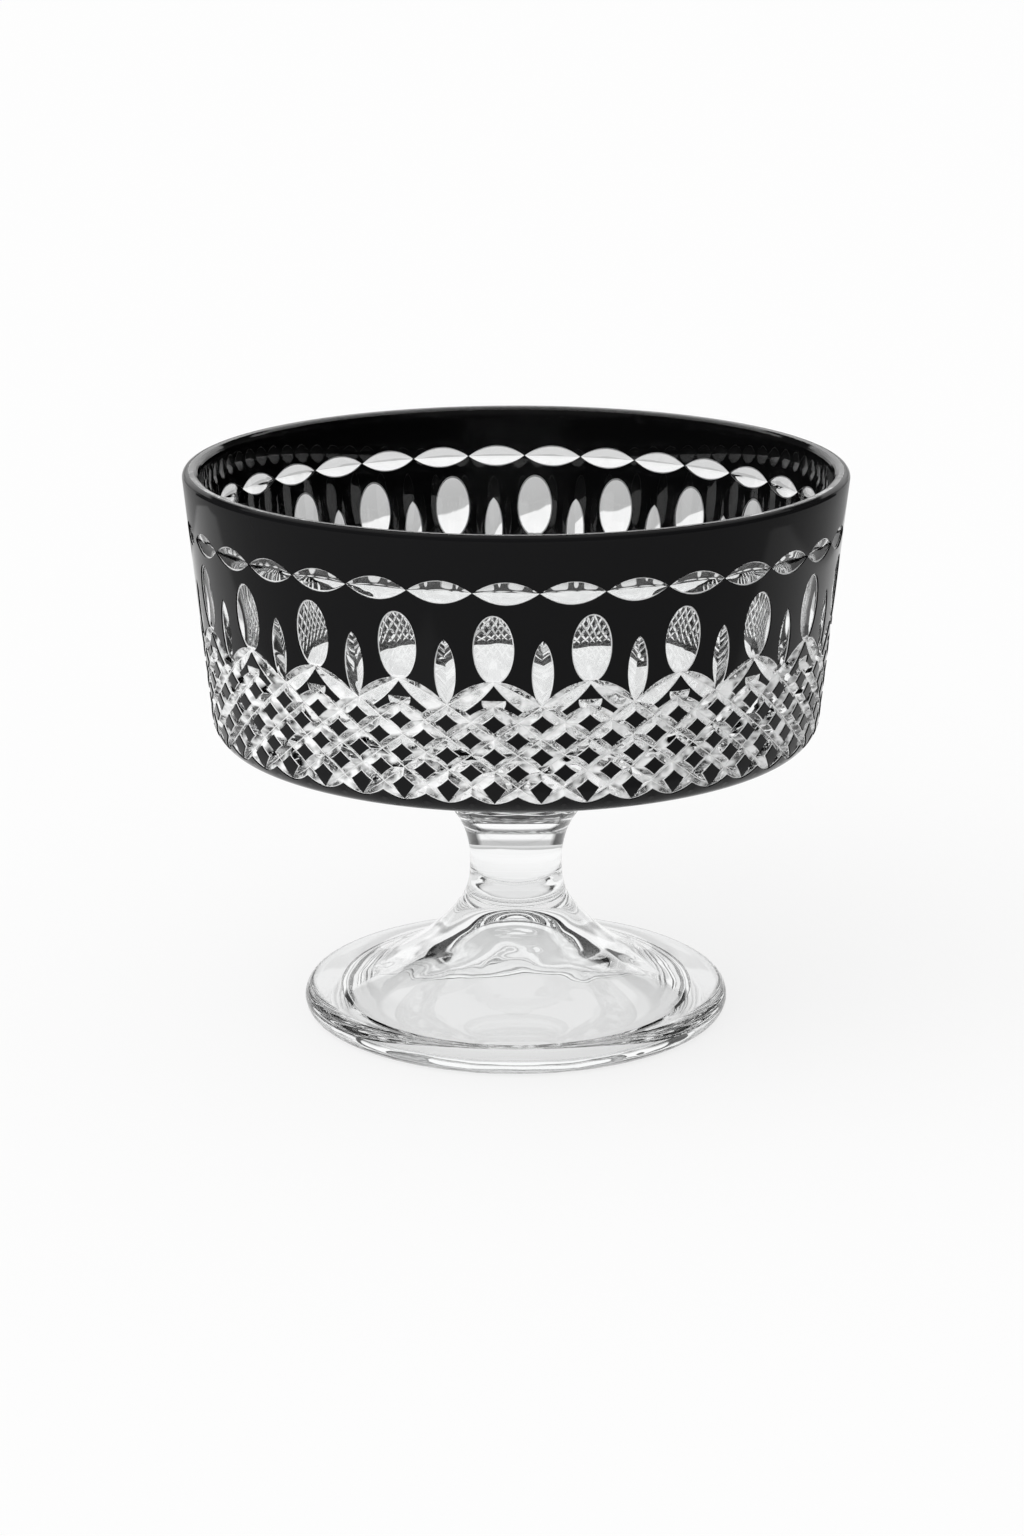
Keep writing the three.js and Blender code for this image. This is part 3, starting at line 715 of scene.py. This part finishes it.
# Rings round the corner and in under the bowl, to the end of the casing
CASING_REACH = 1.0
CASING_END = CORNER_END + CASING_REACH
ROWS_CORNER = 10
BASE_SIDES = 4 * OVALS * STEPS_MITRE
base_angle = OVAL_TURN + np.linspace(0, FULL_TURN, BASE_SIDES + 1)
base_down = np.concatenate([np.linspace(BASE_RING, CORNER_END, ROWS_CORNER), [CASING_END]])
base_rows = ring_places(base_angle[:, None], base_down[None, :])
base_lands.append(with_height(base_rows, LAND)[None])
print(f"{OLIVES} olives, casing ends {CASING_END:.1f} mm down the line")

# %% [markdown]
# ## Clear bowl
#
# The clear bowl is one closed skin: the cut outside, the rounded lip, whose inner half is clear, the
# smooth inside and the clear underside that ends in the flat seat where the stem is welded on.

# %% Clear bowl
WALL_THICKNESS = 5.1
LIP_ROUNDING = 2.25
FLOOR_THICKNESS = 14.0
FLOOR_SLOPE = np.radians(10)
FLOOR_BLEND = 9.0
LIP_STEPS = 5
LIP_MARGIN = 0.2
FLOOR_STEPS = 10
FLOOR_MARGIN = 0.3
STRAIGHT_STEPS = 6
JOINT_STEPS = 2


def bezier(start, pull, end, steps):
    """Points on the curve that leaves start towards pull and reaches end from pull."""
    start, pull, end = (np.asarray(place, float) for place in (start, pull, end))
    s = np.linspace(0, 1, steps + 1)[:, None]
    return (1 - s) ** 2 * start + 2 * s * (1 - s) * pull + s ** 2 * end


def turned(profile, sides, start_angle):
    """A line in (radius, z) turned once round the axis: one row of points for each side."""
    angle = start_angle + np.linspace(0, FULL_TURN, sides + 1)[:, None]
    radius, z = profile[None, :, 0], profile[None, :, 1]
    return np.stack(np.broadcast_arrays(radius * np.sin(angle), -radius * np.cos(angle), z), -1)


def lathe(profile, sides, start_angle, finish):
    """Triangles of a turned line. Listed from the bottom up along the outside, it faces out."""
    points, faces = surface(turned(profile, sides, start_angle)[None])
    return points, faces, finish


taper_slope = np.tan(WALL_TAPER)
inner_lip = np.array([RIM_RADIUS - WALL_THICKNESS / np.cos(WALL_TAPER), RIM_HEIGHT])
floor_height = SEAT_HEIGHT + FLOOR_THICKNESS
wall_drop = (RIM_HEIGHT - floor_height - inner_lip[0] * np.tan(FLOOR_SLOPE)) / (
    1 - taper_slope * np.tan(FLOOR_SLOPE))
floor_corner = inner_lip - wall_drop * np.array([taper_slope, 1])
up_wall = np.array([np.sin(WALL_TAPER), np.cos(WALL_TAPER)])
down_floor = -np.array([np.cos(FLOOR_SLOPE), np.sin(FLOOR_SLOPE)])
lip_start = np.array(casing_line(LIP_START, lip_land[0]))
inside_line = np.concatenate([
    [lip_start],
    bezier(inner_lip + [LIP_ROUNDING, 0], inner_lip, inner_lip - LIP_ROUNDING * up_wall, LIP_STEPS),
    line(inner_lip - (LIP_ROUNDING + LIP_MARGIN) * up_wall,
         floor_corner + (FLOOR_BLEND + FLOOR_MARGIN) * up_wall, STRAIGHT_STEPS),
    bezier(floor_corner + FLOOR_BLEND * up_wall, floor_corner,
           floor_corner + FLOOR_BLEND * down_floor, FLOOR_STEPS),
    line(floor_corner + (FLOOR_BLEND + FLOOR_MARGIN) * down_floor, (0, floor_height), STRAIGHT_STEPS)])
SEAT_RIM = (SEAT_RADIUS, SEAT_HEIGHT)
underside_line = line(casing_line(CASING_END, LAND), SEAT_RIM, STRAIGHT_STEPS)
seat_disc = line(SEAT_RIM, (0, SEAT_HEIGHT), JOINT_STEPS)


def marked_surface(patches, finish):
    """Surface of patches of marks, turned outwards."""
    parts = []
    for patch in patches:
        marks, faces = surface(patch)
        parts.append((on_bowl(marks), facing_out(marks, faces), finish))
    return parts


def cut_surface(patches, finish, ridge_finish):
    """Surface of cut faces: the first strip along the black has the finish of a cut edge, and the
    last one, along the floor of the cut, has a finish of its own."""
    return (marked_surface([patch[..., :2, :] for patch in patches], EDGE)
            + marked_surface([patch[..., 1:-1, :] for patch in patches], finish)
            + marked_surface([patch[..., -2:, :] for patch in patches], ridge_finish))


ring_start = OLIVE_TURN - OLIVE_STEP / 2
clear_bowl = welded(
    cut_surface(window_patches, WINDOW, WINDOW)
    + cut_surface(mitre_patches, MITRE, EDGE)
    + marked_surface(rim_lands + field_lands + tent_lands + base_lands, POLISHED)
    + [lathe(inside_line, OLIVES * STEPS_OLIVE, ring_start, POLISHED),
       lathe(underside_line[::-1], BASE_SIDES, OVAL_TURN, DRAWN),
       lathe(seat_disc[::-1], BASE_SIDES, OVAL_TURN, JOINT)])
crystal_bowl = add_piece("crystal_bowl_cut", clear_bowl, clear_finishes)
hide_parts("crystal_bowl")

# %% [markdown]
# ## Black casing
#
# The casing is a thin shell with upright cut edges, drawn over the outer half of the lip. Its inner
# face lies a hair inside the clear bowl, so that light in the crystal meets the black directly, as
# it does in fused glass. Four pieces of it are left by the cuts.

# %% Black casing
WELD = 0.04


def casing_shell(patches):
    """Closed shell over patches of marks: a top at the black surface, the same surface facing in a
    hair below the land, and a wall down to the land along every free edge."""
    parts = []
    for patch in patches:
        marks, faces = surface(patch)
        levels = [on_bowl(with_height(marks[:, :2], height)) for height in (0, LAND, LAND - WELD)]
        parts.append((np.concatenate(levels, 1), facing_out(marks, faces), 0))
    columns, faces, _ = welded(parts)
    top, land, deep = columns[:, :3], columns[:, 3:6], columns[:, 6:]
    edges = free_edges(faces)
    count = len(top)
    bottom = deep.copy()
    bottom[edges] = land[edges]
    start, end = edges[:, 0], edges[:, 1]
    walls = np.concatenate([
        np.stack([start, start + count, end + count], -1),
        np.stack([start, end + count, end], -1)])
    shell = np.concatenate([faces, faces[:, ::-1] + count, walls])
    return np.concatenate([top, bottom]), shell, np.zeros(len(shell), int)


for name, lands, node in (
        ("casing_rim_band", rim_lands, "overlay_rim_band"),
        ("casing_field", field_lands, "overlay_field"),
        ("casing_base_cup", base_lands, "overlay_base_cup"),
        ("casing_tents_and_diamonds", tent_lands, None)):
    piece = add_piece(name, casing_shell(lands), [black])
    if node:
        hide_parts(node)

# %% [markdown]
# ## Stem and foot
#
# Stem and foot are turned shapes. The stem is a solid spool that flares up to the bowl. The foot is
# drawn out like a trumpet and is hollow underneath, which gives the dark arch in its middle.

# %% Stem and foot
STEM_SIDES = 192

# Ends of the curves as (radius, z); the pulls between them are read off the outline
JOINT_RIM = (16.0, 37.5)
WAIST = (14.4, 47.5)
FOOT_RING = (54.0, 0.0)
BEAD_MIDDLE = 62.35
BEAD_RADIUS = 4.25
BEAD_STEPS = 24
HOLLOW_TOP = (0.0, 30.0)
HOLLOW_BEND = (13.5, 23.0)


def cubic(points, steps):
    """Cubic curve from the first point to the last, with two pulls between."""
    a, b, c, d = (np.asarray(p, float) for p in points)
    s = np.linspace(0, 1, steps + 1)[:, None]
    return (1 - s) ** 3 * a + 3 * s * (1 - s) ** 2 * b + 3 * s ** 2 * (1 - s) * c + s ** 3 * d


def welded_end(rim, facing_up):
    """Flat disc inside the glass, from the axis to a rim of (radius, z)."""
    outwards = line((0, rim[1]), rim, JOINT_STEPS)
    return lathe(outwards[::-1] if facing_up else outwards, STEM_SIDES, 0, JOINT)


stem_line = np.concatenate([
    cubic([JOINT_RIM, (14.9, 40), (14.4, 43.5), WAIST], steps=8),
    cubic([WAIST, (14.4, 60), (20, 66.4), SEAT_RIM], steps=24)[1:]])
stem = add_piece("stem_spool", welded([
    welded_end(JOINT_RIM, facing_up=False),
    lathe(stem_line, STEM_SIDES, 0, POLISHED),
    welded_end(SEAT_RIM, facing_up=True)]), clear_finishes)
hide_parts("stem")

bead_angle = np.linspace(-np.pi / 2, np.pi / 2, BEAD_STEPS + 1)
bead_line = BEAD_RADIUS * np.stack([np.cos(bead_angle), 1 + np.sin(bead_angle)], -1)
foot_outside = np.concatenate([
    line(FOOT_RING, (BEAD_MIDDLE, 0), steps=3)[:-1],
    bead_line + [BEAD_MIDDLE, 0],
    cubic([(BEAD_MIDDLE, 2 * BEAD_RADIUS), (37.95, 10), (19.5, 29.5), JOINT_RIM], steps=32)[1:]])
hollow_line = np.concatenate([
    cubic([HOLLOW_TOP, (5, 30), (9.417, 26.5), HOLLOW_BEND], steps=12),
    cubic([HOLLOW_BEND, (24, 14), (46, 8), FOOT_RING], steps=24)[1:]])
foot = add_piece("foot_trumpet", welded([
    lathe(hollow_line, STEM_SIDES, 0, DRAWN),
    lathe(foot_outside, STEM_SIDES, 0, POLISHED),
    welded_end(JOINT_RIM, facing_up=True)]), clear_finishes)
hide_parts("foot")

# %% [markdown]
# ## Tools for the studio
#
# A studio photograph is lit one way and looks another way: what the lens, the mirrors and the glass
# see is nearly plain white or black, whatever lamp falls on it. These tools build the nodes that
# sort rays by where they come from and that set greys along a value.

# %% Tools for the studio
WHITE = (1, 1, 1, 1)


def feed(tree, socket, value):
    """Link a socket to an output, or set it to a number or a colour."""
    if isinstance(value, bpy.types.NodeSocket):
        tree.links.new(value, socket)
    else:
        socket.default_value = value


def math_node(tree, operation, *values):
    """Output of one Math node on outputs or numbers."""
    node = tree.nodes.new("ShaderNodeMath")
    node.operation = operation
    for socket, value in zip(node.inputs, values):
        feed(tree, socket, value)
    return node.outputs["Value"]


def colour_mix(tree, blend, factor, first, second):
    """Output of one blend of two colours."""
    node = tree.nodes.new("ShaderNodeMix")
    node.data_type = "RGBA"
    node.blend_type = blend
    for name, value in (("Factor", factor), ("A", first), ("B", second)):
        feed(tree, node.inputs[name], value)
    return node.outputs["Result"]


def tone_ramp(tree, value, stops):
    """Greys that follow a value between 0 and 1 through stops of (value, grey)."""
    ramp = tree.nodes.new("ShaderNodeValToRGB")
    tree.links.new(value, ramp.inputs["Fac"])
    while len(ramp.color_ramp.elements) < len(stops):
        ramp.color_ramp.elements.new(0.5)
    for element, (position, grey) in zip(ramp.color_ramp.elements, stops):
        element.position, element.color = position, (grey, grey, grey, 1)
    return ramp.outputs["Color"]


def shader_mix(tree, factor, first, second, output):
    """Two shaders mixed by a factor, as the surface of a material or a world."""
    mix = tree.nodes.new("ShaderNodeMixShader")
    for socket, value in zip(mix.inputs, (factor, first, second)):
        tree.links.new(value, socket)
    tree.links.new(mix.outputs["Shader"], tree.nodes[output].inputs["Surface"])


def seen_rays(tree, camera_share, glass_share):
    """Output that is one share for rays from the camera, another for rays from mirrors and through
    glass, and 0 for all others."""
    path = tree.nodes.new("ShaderNodeLightPath").outputs
    glass = math_node(tree, "MAXIMUM", path["Is Glossy Ray"], path["Is Transmission Ray"])
    in_glass = math_node(tree, "MULTIPLY", glass, glass_share)
    return math_node(tree, "MULTIPLY_ADD", path["Is Camera Ray"], camera_share, in_glass)


print("rays that see the studio: camera, mirrors and glass")

# %% [markdown]
# ## Floor
#
# The bowl stands on white paper. The camera, mirrors and glass see the paper partly as an even white,
# as an overexposed studio floor is, and partly as lit paper, so that the soft shadow stays. Glass
# also shows that the paper is a square sheet, turned a little, on a greyer table, which draws the
# lines in the foot. The camera sees one even sheet.

# %% Floor
FLOOR_REACH = 60.0
EVEN_WHITE = 0.75
EVEN_IN_GLASS = 0.7
PAPER_GAP = 0.1 * MM
PAPER_HALF = 0.435
PAPER_EDGE = 0.015
PAPER_MIDDLE = 0.22
PAPER_TURN = np.radians(27)
PAPER_ROUGHNESS = 0.9
TABLE_REACH = 2.0
TABLE_TONES = [(PAPER_HALF, 1), (PAPER_HALF + PAPER_EDGE, 0.52), (0.9, 0.58), (1.4, 0.75)]

floor_mesh = bpy.data.meshes.new("floor")
floor_corners = FLOOR_REACH * np.array([[-1, -1], [1, -1], [1, 1], [-1, 1]])
floor_mesh.from_pydata(with_height(floor_corners, -PAPER_GAP).tolist(), [], [(0, 1, 2, 3)])
floor = bpy.data.objects.new("floor", floor_mesh)
bpy.context.scene.collection.objects.link(floor)

paper, nodes, links = new_material("white_paper")
tree = paper.node_tree
place = nodes.new("ShaderNodeTexCoord")
turn = nodes.new("ShaderNodeMapping")
turn.inputs["Rotation"].default_value = (0, 0, -PAPER_TURN)
turn.inputs["Location"].default_value = (
    -PAPER_MIDDLE * np.sin(PAPER_TURN), -PAPER_MIDDLE * np.cos(PAPER_TURN), 0)
links.new(place.outputs["Object"], turn.inputs["Vector"])
sides = nodes.new("ShaderNodeSeparateXYZ")
links.new(turn.outputs["Vector"], sides.inputs["Vector"])
reach = math_node(tree, "MAXIMUM", math_node(tree, "ABSOLUTE", sides.outputs["X"]),
                  math_node(tree, "ABSOLUTE", sides.outputs["Y"]))
table = tone_ramp(tree, math_node(tree, "DIVIDE", reach, TABLE_REACH),
                  [(distance / TABLE_REACH, grey) for distance, grey in TABLE_TONES])
path = nodes.new("ShaderNodeLightPath")
tone = colour_mix(tree, "MIX", path.outputs["Is Camera Ray"], table, WHITE)
shader = nodes["Principled BSDF"]
shader.inputs["Roughness"].default_value = PAPER_ROUGHNESS
shader.inputs["Specular IOR Level"].default_value = 0
links.new(tone, shader.inputs["Base Color"])
even_white = nodes.new("ShaderNodeEmission")
links.new(tone, even_white.inputs["Color"])
shader_mix(tree, seen_rays(tree, EVEN_WHITE, EVEN_IN_GLASS), shader.outputs["BSDF"],
           even_white.outputs["Emission"], "Material Output")
floor_mesh.materials.append(paper)
print(f"paper {2 * PAPER_HALF:.2f} m square in the glass, endless for the camera")

# %% [markdown]
# ## Room light
#
# Paper and matt faces are lit by a white room with a wide lamp at the left in front, so the shadow
# of the bowl falls softly to the right. Glass and polish see another room, as a studio shows itself:
# a white backdrop behind, a dark room behind the camera, dark cards at the sides, a grey roof and one
# narrow dark strip. Those draw the edges and dark bands of clear glass. The camera itself sees only
# plain white.

# %% Room light
LIT_STRENGTH = 0.62
LAMP_GAIN = 3.3
LAMP_FOCUS = 6
LAMP_SIDE = (-0.55, -0.5, 0.67)
DARK_ROOM = 0.08
GREY_ROOF = 0.35
DARK_CARD = 0.05
DARK_STRIP = 0.03
LOW_GREY = 0.55

room = bpy.data.worlds.new("room")
bpy.context.scene.world = room
room.use_nodes = True
tree = room.node_tree
nodes, links = tree.nodes, tree.links
nodes.remove(nodes["Background"])
place = nodes.new("ShaderNodeTexCoord")
split = nodes.new("ShaderNodeSeparateXYZ")
links.new(place.outputs["Generated"], split.inputs["Vector"])

# What lights the paper: an even room and a lamp that is brightest along one direction
toward = nodes.new("ShaderNodeVectorMath")
toward.operation = "DOT_PRODUCT"
links.new(place.outputs["Generated"], toward.inputs[0])
toward.inputs[1].default_value = LAMP_SIDE
glow = math_node(tree, "POWER", math_node(tree, "MAXIMUM", toward.outputs["Value"], 0), LAMP_FOCUS)
lit = nodes.new("ShaderNodeBackground")
links.new(math_node(tree, "MULTIPLY_ADD", glow, LAMP_GAIN, LIT_STRENGTH), lit.inputs["Strength"])

# What is seen: greys by depth, 0 behind the camera and 1 at the backdrop, by height and to the side
depth = math_node(tree, "MULTIPLY_ADD", split.outputs["Y"], 0.5, 0.5)
to_side = math_node(tree, "ABSOLUTE", split.outputs["X"])
back_tone = tone_ramp(tree, depth, [(0, DARK_ROOM), (0.35, DARK_ROOM), (0.5, 1), (1, 1)])
roof_tone = tone_ramp(tree, split.outputs["Z"], [
    (0, 0), (0.78, 0), (0.88, GREY_ROOF), (1, GREY_ROOF)])
side_tone = tone_ramp(tree, to_side, [(0, 1), (0.55, 1), (0.66, DARK_CARD), (1, DARK_CARD)])
low_tone = tone_ramp(tree, split.outputs["Z"], [
    (0, LOW_GREY), (0.1, LOW_GREY), (0.18, 1), (0.4, 1),
    (0.42, DARK_STRIP), (0.56, DARK_STRIP), (0.58, 1), (1, 1)])
studio = colour_mix(tree, "LIGHTEN", 1, back_tone, roof_tone)
for tone in (side_tone, low_tone):
    studio = colour_mix(tree, "MULTIPLY", 1, studio, tone)
path = nodes.new("ShaderNodeLightPath")
seen = nodes.new("ShaderNodeBackground")
links.new(colour_mix(tree, "MIX", path.outputs["Is Camera Ray"], studio, WHITE), seen.inputs["Color"])
shader_mix(tree, seen_rays(tree, 1, 1), lit.outputs["Background"], seen.outputs["Background"],
           "World Output")
print("lamp towards", LAMP_SIDE)

# %% [markdown]
# ## Picture settings
#
# Light crosses many faces of glass before it leaves the bowl, so it needs many bounces. The bright
# flecks that glass throws on a table are left out, as the soft light of the photograph shows none.

# %% Picture settings
BOUNCES = 24
MIRROR_BOUNCES = 12
scene = bpy.context.scene
scene.view_settings.view_transform = "Standard"
scene.cycles.max_bounces = BOUNCES
scene.cycles.transmission_bounces = BOUNCES
scene.cycles.transparent_max_bounces = BOUNCES
scene.cycles.glossy_bounces = MIRROR_BOUNCES
scene.cycles.caustics_refractive = False
scene.cycles.caustics_reflective = False
print("bounces", BOUNCES)
